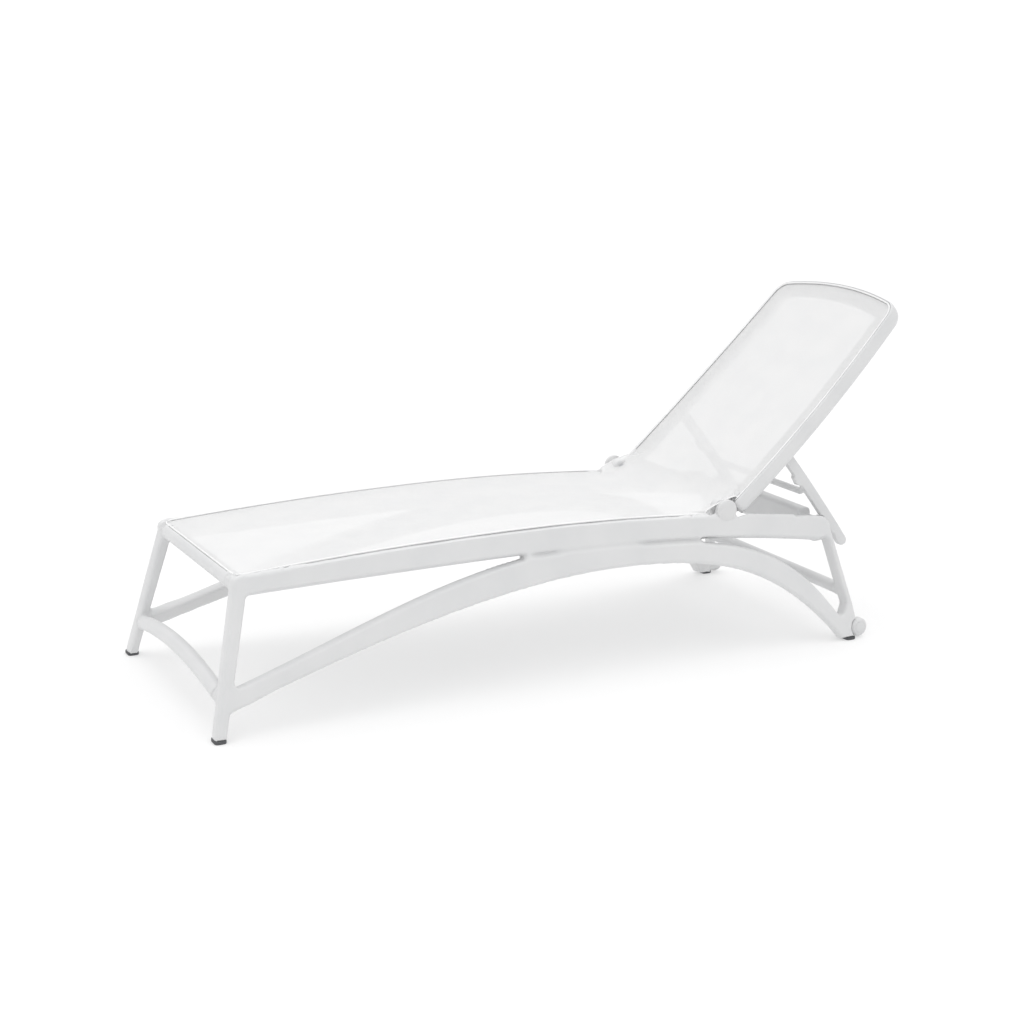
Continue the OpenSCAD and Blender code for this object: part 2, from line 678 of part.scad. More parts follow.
module backrest_frame() color(white) placed() propped() difference() {
    union() {
        backrest_ring();
        for (h = [left, right]) {
            backrest_hub(h);
            prop_boss(h);
        }
        across(lower_tube_s, 3 - bead_y + back_rail_inboard - 6,
               back_n(lower_tube_s) - back_rail_depth + lower_tube_d / 2 + 3, lower_tube_d / 2,
               2 * (bead_y - back_rail_inboard) + 6);
    }
    across(0, -half_stance, 0, hinge_pin_d / 2 + running, stance_width);
    across(prop_pivot[0], -half_stance, prop_pivot[1], prop_pin_d / 2 + seated, stance_width);
}

// ---- Prop --------------------------------------------------------------------------------

// Height of an arm's middle line at a distance from the pivot
function arm_rise(a) = arm_bow * (1 - pow(2 * a / arm_length - 1, 2));

module arm_shape() {
    xs = range(0, arm_length, curve_steps);
    half = arm_width / 2;
    difference() {
        union() {
            polygon(concat([for (a = xs) [a, arm_rise(a) + half]],
                           [for (a = backwards(xs)) [a, arm_rise(a) - half]]));
            circle(r = half, $fn = 48);
            translate([arm_length, 0]) circle(r = half, $fn = 48);
            // Hook beside the rod, for the lowest propped position
            polygon([[74, 0], [82, -half - 3], [104, -half - 6], [prop_rod_station - rod_bend, 0]]);
        }
        for (i = [0, 1]) translate([catch_along + i * notch_spacing, catch_up - i * notch_rise])
            circle(r = catch_r + loose, $fn = 40);
    }
}

notch_rise = 1.5;

// The prop, drawn flat under the backrest, turns down about its pivot
module folded_down() propped() translate([prop_pivot[0], 0, prop_pivot[1]])
    rotate([0, arm_fold, 0]) children();

module prop_frame() color(white) placed() folded_down() difference() {
    union() {
        for (h = [left, right]) upright(h * arm_y - arm_thick / 2, arm_thick) arm_shape();
        prop_rod();
    }
    across(0, -half_stance, 0, prop_pin_d / 2 + running, stance_width);
}

// The rod that joins the arms, with bent ends
rod_up = -5;
rod_bend = 20;
module prop_rod() {
    half = arm_y - 34;
    lean = atan(rod_bend / 34);
    across(prop_rod_station, -half, rod_up, prop_rod_d / 2, 2 * half);
    for (h = [left, right]) translate([prop_rod_station, h * half, rod_up]) {
        sphere(d = prop_rod_d, $fn = 64);
        rotate([-h * 90, 0, h * lean]) cylinder(d = prop_rod_d, h = 34 / cos(lean), $fn = 64);
    }
}

// Pin with a flat head on the arm's inner face, pressed into the backrest's rail
module prop_pin(hand) color(steel) placed() on_hand(hand) propped()
    translate([prop_pivot[0], 0, prop_pivot[1]]) {
        across(0, arm_y - arm_thick / 2 - apart, 0, prop_pin_d / 2,
               bead_half(prop_station) + rim_width - 5 - (arm_y - arm_thick / 2 - apart));
        across(0, arm_y - arm_thick / 2 - apart - 3, 0, prop_pin_d / 2 + 3, 3);
    }

module prop_pin_left() prop_pin(left);
module prop_pin_right() prop_pin(right);

// ---- Sling -------------------------------------------------------------------------------

// The seat panel follows the rail's arch
module seat_sling() color(mesh_white) placed() {
    xs = range(seat_front_x, hinge_x - sling_gap, rim_steps);
    intersection() {
        linear_extrude(2 * seat_height) polygon(foot_line(-sling_edge, hinge_x - sling_gap));
        upright(-bead_y, 2 * bead_y) polygon(concat([for (x = xs) [x, rim_z(x) - sling_drop]],
                       [for (x = backwards(xs)) [x, rim_z(x) - sling_drop - sling_thick]]));
    }
}

module back_sling() color(mesh_white) placed() propped()
    hollowed(-sling_drop, -sling_drop - sling_thick) polygon(head_line(-sling_edge, back_start + 4));

module seat_bead() color(mesh_white) placed()
    tube([for (p = foot_line(0, hinge_x - hub_d / 2 - 12))
        [p[0], p[1], rim_z(p[0]) - bead_d / 2]], bead_d / 2);

module back_bead() color(mesh_white) placed() propped()
    tube([for (p = head_line(0, back_start + 4)) [p[0], p[1], back_n(p[0]) - bead_d / 2]], bead_d / 2);

side_frame_left();
side_frame_right();
front_bar();
front_brace();
rear_beam();
rear_bar();
foot_pad_front_left();
foot_pad_front_right();
foot_pad_rear_left();
foot_pad_rear_right();
wheel_left();
wheel_right();
wheel_axle_left();
wheel_axle_right();
hinge_pin_left();
hinge_pin_right();
hinge_clip_left();
hinge_clip_right();
backrest_frame();
prop_frame();
prop_pin_left();
prop_pin_right();
seat_sling();
back_sling();
seat_bead();
back_bead();
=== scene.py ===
# %% [markdown]
# # A reclining sun lounger, moulded and strung
# The base is two white moulded side frames with cross bars between them. A hollowed backrest
# ring turns on two capped pins, a prop holds it up, and one mesh sling edged with a bead runs
# from the foot end over the hinge to the head. The frame comes from the CAD model, so every
# piece made here is placed by the CAD nodes' boxes and by the joints of the record.

# %% Load the frame
import json
import math
import bmesh
import bpy
import numpy as np
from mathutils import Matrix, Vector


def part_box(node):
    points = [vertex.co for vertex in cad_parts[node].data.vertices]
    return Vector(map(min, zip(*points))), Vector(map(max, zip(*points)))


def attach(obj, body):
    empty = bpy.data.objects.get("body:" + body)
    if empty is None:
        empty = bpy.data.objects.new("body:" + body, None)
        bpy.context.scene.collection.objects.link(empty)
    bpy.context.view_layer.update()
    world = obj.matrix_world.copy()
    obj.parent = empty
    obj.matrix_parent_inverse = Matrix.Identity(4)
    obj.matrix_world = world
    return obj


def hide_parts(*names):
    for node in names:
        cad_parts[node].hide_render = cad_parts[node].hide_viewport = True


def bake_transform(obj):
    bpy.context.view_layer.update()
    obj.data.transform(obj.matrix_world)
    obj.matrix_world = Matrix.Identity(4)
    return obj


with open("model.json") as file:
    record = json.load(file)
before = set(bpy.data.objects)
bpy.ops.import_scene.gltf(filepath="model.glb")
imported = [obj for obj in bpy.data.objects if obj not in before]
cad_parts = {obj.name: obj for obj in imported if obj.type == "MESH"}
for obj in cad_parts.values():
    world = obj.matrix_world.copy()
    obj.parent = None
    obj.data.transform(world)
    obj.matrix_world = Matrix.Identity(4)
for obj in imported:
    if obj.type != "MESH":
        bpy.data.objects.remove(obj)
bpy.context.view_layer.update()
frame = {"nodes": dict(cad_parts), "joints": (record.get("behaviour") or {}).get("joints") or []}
nodes = frame["nodes"]

# %% [markdown]
# The camera stands at the foot end's near side, a little above the backrest, with a long
# lens, so that the side frames' arches stay calm and the far side shows under the sling.

# %% Camera
cam_data = bpy.data.cameras.new("camera")
cam_data.sensor_width = 36.0
cam_data.lens = 68.178
camera = bpy.data.objects.new("camera", cam_data)
camera.location = (-2.088176, -4.10405, 1.48504)
camera.rotation_euler = (math.radians(75.9094), 0.0, math.radians(-26.4108))
bpy.context.scene.collection.objects.link(camera)
bpy.context.scene.camera = camera
print("camera at", tuple(round(c, 3) for c in camera.location))

# %% [markdown]
# Everything below is measured from a few places: the hinge axis, the middle of the rear and
# the front feet, and the sizes that the mouldings were drawn with. Lengths are in metres.

# %% Places and sizes
def middle(node):
    """Middle of a CAD node's box."""
    lo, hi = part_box(node)
    return (np.array(lo) + np.array(hi)) / 2


JOINTS = {j["name"]: j for j in frame["joints"]}
HINGE = middle("hinge_pin_left") * [1, 0, 1]
FOOT_REAR = middle("foot_pad_rear_left")[0]
FOOT_FRONT = middle("foot_pad_front_left")[0]
FEET_MID = (FOOT_REAR + FOOT_FRONT) / 2
FOOT_SPACING = FOOT_REAR - FOOT_FRONT
BACK_ANGLE = math.radians(43.5)
SEAT_HEIGHT, FOOT_DROP, HINGE_DROP = 0.368, 0.025, 0.026
LEAN, SIDE_FOOT_Y, SIDE_DEPTH = math.radians(12.5), 0.357, 0.039
PEAK_X = FEET_MID - 0.03 * FOOT_SPACING
BAR_X = FOOT_FRONT + 0.078
SEAT_FRONT = BAR_X - 0.005
BEAD_R = 0.0023
BEAD_Y = 0.264
SEAT_BEAD_END = HINGE[0] - 0.046
print("hinge", HINGE.round(4), "feet", round(FOOT_FRONT, 4), round(FOOT_REAR, 4))


# %% [markdown]
# The seat rail is a long shallow arch and the backrest is hollowed. Both are parabolas, and
# the sling, the beads and the mouldings all follow the same few formulas.

# %% Curves of the seat and the backrest
def rim_z(x):
    """Height of the seat rail: two parabolas that meet at its highest point."""
    front = FOOT_DROP / (PEAK_X - BAR_X) ** 2
    rear = HINGE_DROP / (HINGE[0] - PEAK_X) ** 2
    return SEAT_HEIGHT - (x - PEAK_X) ** 2 * np.where(x < PEAK_X, front, rear)


HEAD_S, CROWN, CROWN_HALF, BULGE = 0.672, 0.028, 0.244, 0.008
CORNER_R, BACK_SET, BACK_HOLLOW = 0.042, 0.0055, 0.009
CROWN_R = (CROWN_HALF ** 2 + CROWN ** 2) / (2 * CROWN)
CROWN_S = HEAD_S + CROWN - CROWN_R


def bead_half(s):
    """Half the width between the backrest's bead lines: a taper with a parabolic bulge."""
    t = s / HEAD_S
    return BEAD_Y + (CROWN_HALF - BEAD_Y) * t + 4 * BULGE * t * (1 - t)


def back_n(s):
    """Height of the backrest's top edge above the hinge when flat: a shallow parabola."""
    t = np.clip(s / HEAD_S, -0.1, 1.1)
    return -BACK_SET - 4 * BACK_HOLLOW * t * (1 - t)


def turned_up(s, y, n):
    """Takes points of the flat backrest (s, y, n) to their place at the propped angle."""
    c, k = math.cos(BACK_ANGLE), math.sin(BACK_ANGLE)
    s, y, n = np.broadcast_arrays(s, y, n)
    return np.stack([HINGE[0] + s * c - n * k, y, HINGE[2] + s * k + n * c], -1)


def head_line(e, s_low, steps=(56, 14, 40)):
    """The backrest's bead line moved outwards by e, as (s, y) from the left lower end over
    the head to the right: a straight side, an arc for the corner and an arc for the crown."""
    corner_s = HEAD_S - CORNER_R
    slope = (CROWN_HALF - BEAD_Y + 4 * BULGE * (1 - 2 * corner_s / HEAD_S)) / HEAD_S
    normal = np.array([-slope, 1.0]) / math.hypot(slope, 1.0)
    bend = max(CORNER_R + e, 0.012)
    inner = (bead_half(corner_s) - slope * corner_s) * normal[1] - (bend - e)
    off = inner - CROWN_S * normal[0]
    along = CROWN_S * normal[1] + math.sqrt((CROWN_R - bend + e) ** 2 - off * off)
    mid = inner * normal + along * np.array([normal[1], -normal[0]])
    a0, a1 = math.atan2(normal[1], normal[0]), math.atan2(mid[1], mid[0] - CROWN_S)
    s = np.linspace(s_low, mid[0] - 0.004, steps[0])
    a = np.linspace(a0, a1, steps[1])
    b = np.linspace(a1, 0, steps[2])[1:]
    half = np.concatenate([
        np.stack([s, bead_half(s) + e], -1),
        mid + bend * np.stack([np.cos(a), np.sin(a)], -1),
        np.array([CROWN_S, 0]) + (CROWN_R + e) * np.stack([np.cos(b), np.sin(b)], -1)])
    return np.concatenate([half * [1, -1], (half * [1, 1])[-2::-1]])


def smooth(t):
    """Eases from 0 to 1."""
    t = np.clip(t, 0, 1)
    return t * t * (3 - 2 * t)


CORNER = 0.024


def foot_line(x_end):
    """The seat's bead line from the left hinge round the foot end to the right hinge."""
    x = np.linspace(x_end, SEAT_FRONT + CORNER, 90)
    a = np.linspace(math.pi / 2, math.pi, 12)[1:]
    arc = np.stack([SEAT_FRONT + CORNER + CORNER * np.cos(a), BEAD_Y - CORNER
                    + CORNER * np.sin(a)], -1)
    y = np.linspace(BEAD_Y - CORNER, -BEAD_Y + CORNER, 30)[1:-1]
    half = np.concatenate([np.stack([x, np.full(90, BEAD_Y)], -1), arc])
    front = np.stack([np.full(28, SEAT_FRONT), y], -1)
    return np.concatenate([half, front, (half * [1, -1])[::-1]])


print("backrest corner at", head_line(0, 0.03)[60].round(3))

# %% [markdown]
# Most pieces are surfaces on a grid: a function gives a point for each row and column, and
# the cells of the grid become the faces. Three helpers turn such arrays into pieces: one for
# the mesh, one for round pieces turned about an axis, and one for bars along a path.


# %% Mesh helpers
def grid_faces(rows, cols, closed=True):
    """Corners of each cell of a grid; closed joins the last column to the first."""
    r, c = np.meshgrid(np.arange(rows - 1), np.arange(cols if closed else cols - 1),
                       indexing="ij")
    a, b = r * cols + c, r * cols + (c + 1) % cols
    return np.stack([a, b, b + cols, a + cols], -1).reshape(-1, 4)


def make_mesh(name, points, faces):
    """Mesh data with these points and faces."""
    mesh = bpy.data.meshes.new(name)
    mesh.from_pydata(points.reshape(-1, 3).tolist(), [], [list(f) for f in faces])
    mesh.update()
    return mesh


def read_points(mesh, normals=False):
    """The points of a mesh, or their normals, as one array."""
    values = np.empty(len(mesh.vertices) * 3)
    if normals:
        mesh.vertex_normals.foreach_get("vector", values)
    else:
        mesh.vertices.foreach_get("co", values)
    return values.reshape(-1, 3)


def write_points(mesh, co):
    """Moves the mesh's points to these places."""
    mesh.vertices.foreach_set("co", co.ravel())
    mesh.update()
    return mesh


def outwards(mesh, merge=1e-6):
    """Merges doubled points, closes the poles and turns every face outwards."""
    bm = bmesh.new()
    bm.from_mesh(mesh)
    bmesh.ops.remove_doubles(bm, verts=bm.verts, dist=merge)
    bmesh.ops.recalc_face_normals(bm, faces=bm.faces)
    bm.to_mesh(mesh)
    bm.free()
    mesh.shade_smooth()
    return mesh


def add_piece(name, mesh, body, material, stands_for=()):
    """Puts a mesh into the scene as a named piece that rides on a CAD body."""
    piece = bpy.data.objects.new(name, mesh)
    bpy.context.scene.collection.objects.link(piece)
    mesh.materials.clear()
    mesh.materials.append(material)
    if body:
        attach(piece, body)
    if stands_for:
        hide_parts(*stands_for)
    print(name, len(mesh.polygons), "faces")
    return piece


def lofted(rings):
    """Closed skin over rings of points, an array (rings, points, 3), with flat ends."""
    count, sides = rings.shape[:2]
    faces = [list(f) for f in grid_faces(count, sides)]
    faces += [list(range(sides))[::-1], list(range((count - 1) * sides, count * sides))]
    return outwards(make_mesh("loft", rings, faces))


def turned(profile, centre, axis=(0, 1, 0), sides=64):
    """Surface of revolution: each (radius, height) of the profile goes round the axis."""
    axis = np.array(axis, float) / np.linalg.norm(axis)
    across = np.cross(axis, [0, 0, 1.0] if abs(axis[2]) < 0.9 else [1.0, 0, 0])
    across /= np.linalg.norm(across)
    up = np.cross(axis, across)
    p = np.array(profile, float)
    a = np.linspace(0, 2 * np.pi, sides, endpoint=False)
    ring = np.cos(a)[:, None] * across + np.sin(a)[:, None] * up
    rings = np.array(centre) + p[:, 0, None, None] * ring + p[:, 1, None, None] * axis
    return lofted(rings)


def bar(path, radius, sides=40):
    """Round bar or cord: a circle carried along a smooth path, square to it."""
    path = np.array(path, float)
    along = np.gradient(path, axis=0)
    along /= np.linalg.norm(along, axis=1)[:, None]
    side = np.cross(along, [0, 0, 1.0])
    side /= np.linalg.norm(side, axis=1)[:, None]
    rise = np.cross(side, along)
    a = np.linspace(0, 2 * np.pi, sides, endpoint=False)
    r = np.broadcast_to(radius, len(path))[:, None, None]
    rings = path[:, None] + r * (np.cos(a)[None, :, None] * side[:, None]
                                 + np.sin(a)[None, :, None] * rise[:, None])
    return lofted(rings)


print("helpers ready")

# %% [markdown]
# The mouldings are glass-filled polypropylene with a satin skin. They have no hard edge
# anywhere, and the members run into each other in soft fillets. That look comes from fusing
# simple closed shapes into one voxel skin and relaxing it: each point moves towards the mean
# of its neighbours, and then part of the way back, so that edges round off and steps melt
# while thin members keep their size.


# %% Moulding helper
def soup(meshes):
    """One mesh that holds all of these closed meshes side by side."""
    points, faces, start = [], [], 0
    for mesh in meshes:
        points.append(read_points(mesh))
        faces += [[v + start for v in p.vertices] for p in mesh.polygons]
        start += len(mesh.vertices)
    return make_mesh("soup", np.concatenate(points), faces)


def relaxed(mesh, passes, pull=0.55, push=-0.57):
    """Rounds a mesh: each pass pulls every point to its neighbours' mean, then pushes back."""
    edges = np.empty(len(mesh.edges) * 2, int)
    mesh.edges.foreach_get("vertices", edges)
    a, b = edges.reshape(-1, 2).T
    count = len(mesh.vertices)
    co = read_points(mesh)
    near = np.maximum(np.bincount(a, minlength=count) + np.bincount(b, minlength=count), 1)
    for step in [pull, push] * passes + [pull]:
        mean = np.stack([(np.bincount(a, co[b, k], count) + np.bincount(b, co[a, k], count))
                         / near for k in range(3)], -1)
        co = co + step * (mean - co)
    return write_points(mesh, co)


def moulded(meshes, voxel, passes):
    """Fuses closed meshes into one skin of small squares and relaxes it."""
    fused = bpy.data.objects.new("fused", soup(meshes))
    bpy.context.scene.collection.objects.link(fused)
    remesh = fused.modifiers.new("remesh", "REMESH")
    remesh.mode = "VOXEL"
    remesh.voxel_size = voxel
    graph = bpy.context.evaluated_depsgraph_get()
    skin = bpy.data.meshes.new_from_object(fused.evaluated_get(graph))
    bpy.data.objects.remove(fused)
    relaxed(skin, passes)
    skin.shade_smooth()
    return skin


def cad_copy(node):
    """A merged copy of a CAD node's mesh."""
    return outwards(nodes[node].data.copy(), 2e-6)


# %% [markdown]
# ## Finishes
# Every finish reads Object coordinates, so it stays put when the piece moves. The moulding's
# skin is satin, finely pebbled by its mould, a little cloudy in colour and duller in patches.


# %% Finish helpers
def finish_nodes(name, colour, roughness, metallic=0.0):
    """A new material with one Principled shader: returns it with its tree and shader."""
    material = bpy.data.materials.new(name)
    material.use_nodes = True
    tree = material.node_tree
    shader = tree.nodes["Principled BSDF"]
    shader.inputs["Base Color"].default_value = (*colour, 1)
    shader.inputs["Roughness"].default_value = roughness
    shader.inputs["Metallic"].default_value = metallic
    return material, tree, shader


def add_noise(tree, scale, detail=3.0):
    """Noise that is fixed to the piece."""
    place = tree.nodes.new("ShaderNodeTexCoord")
    noise = tree.nodes.new("ShaderNodeTexNoise")
    noise.inputs["Scale"].default_value = scale
    noise.inputs["Detail"].default_value = detail
    tree.links.new(place.outputs["Object"], noise.inputs["Vector"])
    return noise.outputs["Fac"]


def add_ramp(tree, value, low, high):
    """Colour or grey that runs from low to high with a value from 0.35 to 0.65."""
    ramp = tree.nodes.new("ShaderNodeValToRGB")
    ramp.color_ramp.elements[0].position = 0.35
    ramp.color_ramp.elements[1].position = 0.65
    ramp.color_ramp.elements[0].color = (*low, 1)
    ramp.color_ramp.elements[1].color = (*high, 1)
    tree.links.new(value, ramp.inputs["Fac"])
    return ramp.outputs["Color"]


def add_bump(tree, shader, height, distance, strength=1.0):
    """Raises the surface by a height, given in metres at most."""
    bump = tree.nodes.new("ShaderNodeBump")
    bump.inputs["Distance"].default_value = distance
    bump.inputs["Strength"].default_value = strength
    tree.links.new(height, bump.inputs["Height"])
    tree.links.new(bump.outputs["Normal"], shader.inputs["Normal"])


def moulded_finish(name, low, high, sleek, rough, grain):
    """Plastic: cloudy colour between low and high, roughness in patches, a fine pebble."""
    material, tree, shader = finish_nodes(name, high, rough)
    cloud = add_noise(tree, 9.0, 4.0)
    tree.links.new(add_ramp(tree, cloud, low, high), shader.inputs["Base Color"])
    patch = add_ramp(tree, add_noise(tree, 38.0, 5.0), (sleek,) * 3, (rough,) * 3)
    tree.links.new(patch, shader.inputs["Roughness"])
    add_bump(tree, shader, add_noise(tree, grain, 2.0), 0.00012, 0.35)
    return material


moulding = moulded_finish("satin_white_moulding", (0.685, 0.69, 0.695), (0.715, 0.717, 0.72),
                          0.36, 0.46, 900.0)
cap_white = moulded_finish("smooth_white_cap", (0.67, 0.675, 0.68), (0.70, 0.70, 0.70),
                           0.27, 0.36, 1300.0)
bead_white = moulded_finish("bead_white", (0.86, 0.86, 0.86), (0.9, 0.9, 0.9),
                            0.3, 0.4, 1500.0)
wheel_white = moulded_finish("wheel_white", (0.67, 0.675, 0.68), (0.71, 0.71, 0.71),
                             0.34, 0.5, 700.0)
rubber = moulded_finish("dark_grey_rubber", (0.075, 0.078, 0.082), (0.11, 0.112, 0.118),
                        0.62, 0.85, 420.0)
steel, steel_tree, steel_shader = finish_nodes("zinc_plated_steel", (0.62, 0.63, 0.65), 0.3, 1.0)
steel_patch = add_ramp(steel_tree, add_noise(steel_tree, 160.0, 5.0), (0.24,) * 3, (0.42,) * 3)
steel_tree.links.new(steel_patch, steel_shader.inputs["Roughness"])
print("plain finishes ready")

# %% [markdown]
# The sling is a plain weave of coated polyester threads, two over and two under each other at
# about 1.4 mm, with a small hole at each crossing that lets a little light through. The
# threads come from the piece's own UV map, which is laid out in metres along and across the
# cloth, so that they follow it over the hinge.


# %% Mesh fabric
def wave(tree, coordinate, pitch, phase=0.0):
    """Rises and falls between 0 and 1 once every pitch metres."""
    scaled = tree.nodes.new("ShaderNodeMath")
    scaled.operation = "MULTIPLY_ADD"
    scaled.inputs[1].default_value = 2 * math.pi / pitch
    scaled.inputs[2].default_value = phase
    tree.links.new(coordinate, scaled.inputs[0])
    sine = tree.nodes.new("ShaderNodeMath")
    sine.operation = "SINE"
    tree.links.new(scaled.outputs[0], sine.inputs[0])
    lifted = tree.nodes.new("ShaderNodeMath")
    lifted.operation = "MULTIPLY_ADD"
    lifted.inputs[1].default_value = 0.5
    lifted.inputs[2].default_value = 0.5
    tree.links.new(sine.outputs[0], lifted.inputs[0])
    return lifted.outputs[0]


def combine(tree, operation, a, b):
    """One Math node over two values, either of which may be a plain number."""
    node = tree.nodes.new("ShaderNodeMath")
    node.operation = operation
    for socket, value in zip(node.inputs, (a, b)):
        if isinstance(value, (int, float)):
            socket.default_value = value
        else:
            tree.links.new(value, socket)
    return node.outputs[0]


THREAD = 0.0014
fabric, tree, shader = finish_nodes("white_mesh_fabric", (0.9, 0.9, 0.9), 0.55)
uv = tree.nodes.new("ShaderNodeUVMap")
uv.uv_map = "cloth"
split = tree.nodes.new("ShaderNodeSeparateXYZ")
tree.links.new(uv.outputs["UV"], split.inputs[0])
warp = wave(tree, split.outputs["X"], THREAD)
weft = wave(tree, split.outputs["Y"], THREAD)
threads = combine(tree, "MAXIMUM", warp, weft)
over = combine(tree, "MULTIPLY", wave(tree, split.outputs["X"], 2 * THREAD),
               wave(tree, split.outputs["Y"], 2 * THREAD))
height = combine(tree, "ADD", threads, over)
add_bump(tree, shader, height, 0.0002, 0.25)
open_part = combine(tree, "MULTIPLY", combine(tree, "SUBTRACT", 1.0, warp),
                    combine(tree, "SUBTRACT", 1.0, weft))
alpha = combine(tree, "SUBTRACT", 1.0, combine(tree, "MULTIPLY", open_part, 0.38))
tree.links.new(alpha, shader.inputs["Alpha"])
tint = add_ramp(tree, add_noise(tree, 14.0, 3.0), (0.735, 0.737, 0.74), (0.76, 0.76, 0.76))
tree.links.new(tint, shader.inputs["Base Color"])
shader.inputs["Sheen Weight"].default_value = 0.15
print("mesh fabric ready, thread pitch", THREAD)

# %% [markdown]
# ## Side frames
# Each side frame is one leaning moulding: rail, front leg, long arch and rear leg. The CAD
# node gives the shape in five flat layers. Fused with short sockets for the cross bars and
# relaxed, the layers melt into one rounded section and the sockets get their soft fillets.


# %% Cross bar paths
def side_face(z):
    """Distance of a side frame's inner face from the middle, at a height: it leans inwards."""
    return SIDE_FOOT_Y - z * math.tan(LEAN) - SIDE_DEPTH / math.cos(LEAN)


BAR_Z = float(rim_z(BAR_X)) - 0.020
BRACE_X, BRACE_Z, BRACE_RISE = FOOT_FRONT + 0.020, 0.088, 0.028
REAR_BAR_X, REAR_BAR_Z = FOOT_REAR + 0.003, 0.117
BRACE_HALF = side_face(BRACE_Z)
FRONT_BAR_R, BRACE_R, REAR_BAR_R = 0.0197, 0.0183, 0.0150
BRACE_BEND = (BRACE_HALF ** 2 + BRACE_RISE ** 2) / (2 * BRACE_RISE)


def brace_path(y):
    """The brace follows an arc of a circle that stands across the front legs."""
    z = BRACE_Z + BRACE_RISE - BRACE_BEND + np.sqrt(BRACE_BEND ** 2 - y ** 2)
    return np.stack([np.full_like(y, BRACE_X), y, z], -1)


def straight_path(x, z, y):
    """Points of a level bar across the lounger."""
    return np.stack([np.full_like(y, x), y, np.full_like(y, z)], -1)


def socket(path_of, inner, radius, length=0.03, flare=0.003):
    """Closed socket round a bar's end: it widens by flare where it meets the side frame."""
    y = np.linspace(inner - length, inner + 0.008, 14)
    grow = np.clip((y - inner + 0.014) / 0.016, 0, 1)
    return bar(path_of(y), radius + flare * grow ** 2)


def mirrored(mesh):
    """The same mesh on the other side of the lounger."""
    twin = mesh.copy()
    co = np.empty(len(twin.vertices) * 3)
    twin.vertices.foreach_get("co", co)
    twin.vertices.foreach_set("co", (co.reshape(-1, 3) * [1, -1, 1]).ravel())
    twin.flip_normals()
    return outwards(twin, 1e-7)


# %% [markdown]
# The skin of the right side frame is fused, its edges are rolled over, a fold is sunk between
# rail and arch, and the left one is its mirror image.

# %% Side frames
sockets = [
    socket(lambda y: straight_path(BAR_X, BAR_Z, y), side_face(BAR_Z), FRONT_BAR_R),
    socket(brace_path, side_face(BRACE_Z), BRACE_R * 0.9, flare=0.001),
    socket(lambda y: straight_path(REAR_BAR_X, REAR_BAR_Z, y), side_face(REAR_BAR_Z), REAR_BAR_R),
]


def hinge_plate(depth_from=0.0012, depth_to=0.014, radius=0.030):
    """Disc in the leaning side that fills the rail behind the hinge cap."""
    axis = np.array([0, math.cos(LEAN), math.sin(LEAN)])
    z = HINGE[2] - 0.013
    face = np.array([HINGE[0], SIDE_FOOT_Y - z * math.tan(LEAN), z])
    return turned([(radius - 0.002, -depth_from), (radius, -depth_from - 0.004),
                   (radius, -depth_to)], face, axis)


def rounded_over(mesh, outer=0.018, inner=0.008, depth=SIDE_DEPTH):
    """Rolls the side's edges over. Each point has a depth d under the leaning outer face and
    a distance e from the outline; where both are less than the radius, the point moves on
    the circle of that radius round the corner's centre."""
    axis = np.array([0, math.cos(LEAN), math.sin(LEAN)])
    up = np.array([0, -math.sin(LEAN), math.cos(LEAN)])
    foot = np.array([0, SIDE_FOOT_Y, 0])
    co, no = read_points(mesh), read_points(mesh, normals=True)
    flat = np.stack([co[:, 0], (co - foot) @ up], -1)
    slope = np.stack([no[:, 0], no @ up], -1)
    d = -((co - foot) @ axis)
    wall = (np.linalg.norm(slope, axis=1) > 0.8) & (d > 0.0115) & (d < 0.0165)
    wall_at, wall_out = flat[wall], slope[wall] / np.linalg.norm(slope[wall], axis=1)[:, None]
    legs = smooth((FOOT_FRONT + 0.13 - co[:, 0]) / 0.05) + smooth(
        (co[:, 0] - FOOT_REAR + 0.05) / 0.03)
    for size_to, turned_d in ((outer, d), (inner, depth - d)):
        reach = size_to - (size_to - 0.008) * legs
        edge = np.flatnonzero((turned_d < reach) & (turned_d > -0.004))
        for rows in np.array_split(edge, max(1, len(edge) // 3000)):
            gap = ((flat[rows, None] - wall_at[None]) ** 2).sum(-1)
            near = gap.argmin(1)
            out = wall_out[near]
            e = ((wall_at[near] - flat[rows]) * out).sum(1)
            far = np.sqrt(gap[np.arange(len(rows)), near]) > 0.03
            radius = reach[rows]
            p, q = radius - e, radius - turned_d[rows]
            size = np.hypot(p, q)
            shrink = np.where((p > 0) & (q > 0) & (size > radius) & ~far, radius / size, 1.0)
            flat[rows] -= out * (p * (1 - shrink))[:, None]
            turned_d[rows] = radius - q * shrink
        d = turned_d if size_to == outer else depth - turned_d
    co = foot + np.outer(flat[:, 0], [1, 0, 0]) + np.outer(flat[:, 1], up) - np.outer(d, axis)
    return write_points(mesh, co)


def raised_bed(mesh, line, height, width):
    """Raises the skin under a line of (x, y) in a soft ridge, a bell curve across the line."""
    co = read_points(mesh)
    close = np.flatnonzero((np.abs(co[:, 1] - BEAD_Y) < 0.02) & (co[:, 2] > 0.28)
                           & (co[:, 0] < HINGE[0] - 0.03))
    for rows in np.array_split(close, max(1, len(close) // 3000)):
        gap = np.sqrt(((co[rows, None, :2] - line[None]) ** 2).sum(-1).min(1))
        co[rows, 2] += height * np.exp(-(gap / width) ** 2)
    return write_points(mesh, co)


def valley_z(x):
    """Height of the fold between the rail's lower edge and the arch over the web."""
    top_x, top_z = FEET_MID + 0.02 * FOOT_SPACING, SEAT_HEIGHT - 0.063
    end_x = FOOT_REAR - 0.061
    rate = (top_z - float(rim_z(end_x)) + 0.062) / (end_x - top_x) ** 2
    return top_z - rate * np.maximum(x - top_x, 0) ** 2


